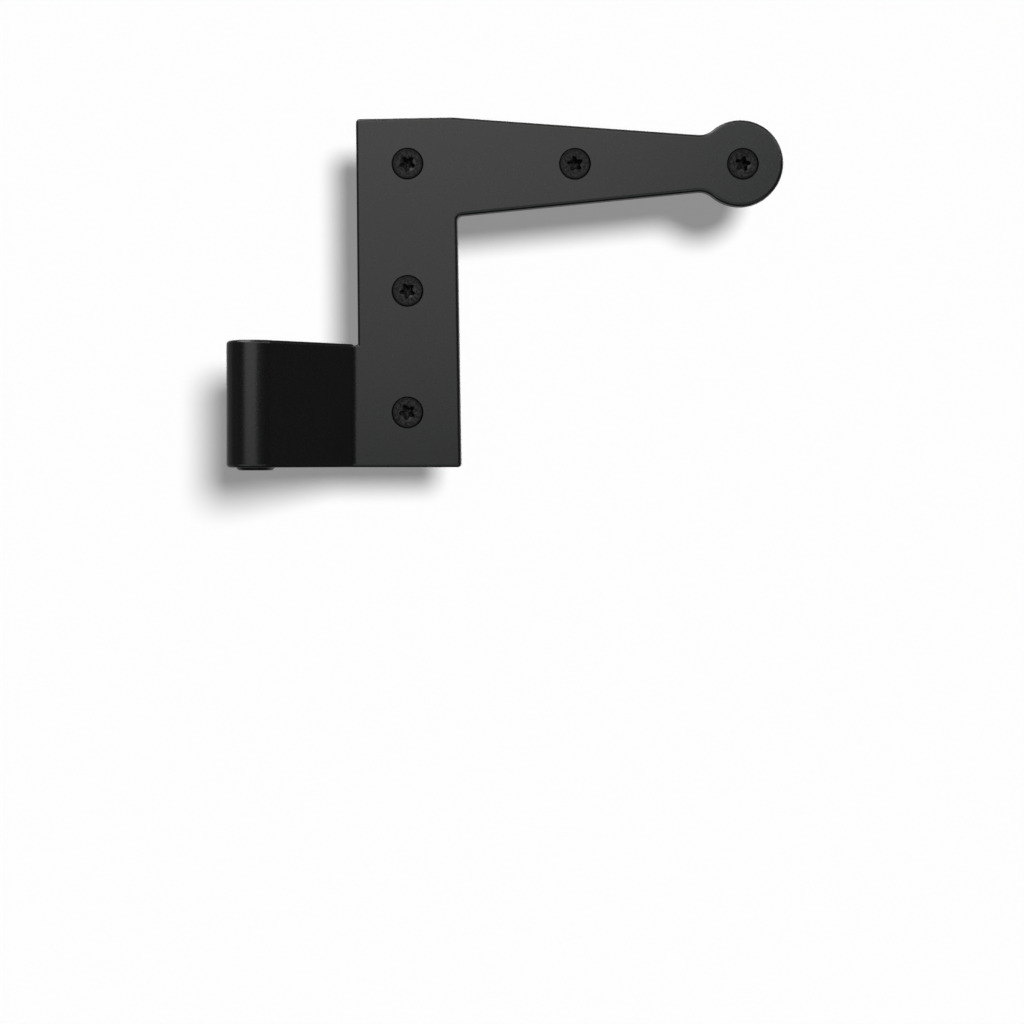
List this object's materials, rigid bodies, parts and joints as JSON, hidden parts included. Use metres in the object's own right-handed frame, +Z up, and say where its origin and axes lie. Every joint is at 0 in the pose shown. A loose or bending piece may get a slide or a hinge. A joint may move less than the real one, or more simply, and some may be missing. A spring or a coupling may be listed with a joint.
{
  "type": "shutter band hinge leaf",
  "caption": "L-shaped steel shutter hinge leaf with a tapering round-ended arm, a folded tab rolled into a bushed eye for a hook's pin, and countersunk flat-head screws.",
  "frame": {"origin": "on the eye's axis, level with the plate's bottom edge, inside the bushing's bore", "axes": "+Z up along the pin's axis, +X along the arm away from the eye, +Y out of the plate's back face towards the shutter"},
  "size_m": [0.1401, 0.0421, 0.0899],
  "materials": {
    "band_coat": "black satin powder coat on steel",
    "bushing_coat": "black satin coat on steel",
    "screw_finish": "black phosphate on steel"
  },
  "bodies": {
    "root": {"band": "band_coat", "eye_bushing": "bushing_coat", "wood_screws": "screw_finish"}
  },
  "joints": []
}
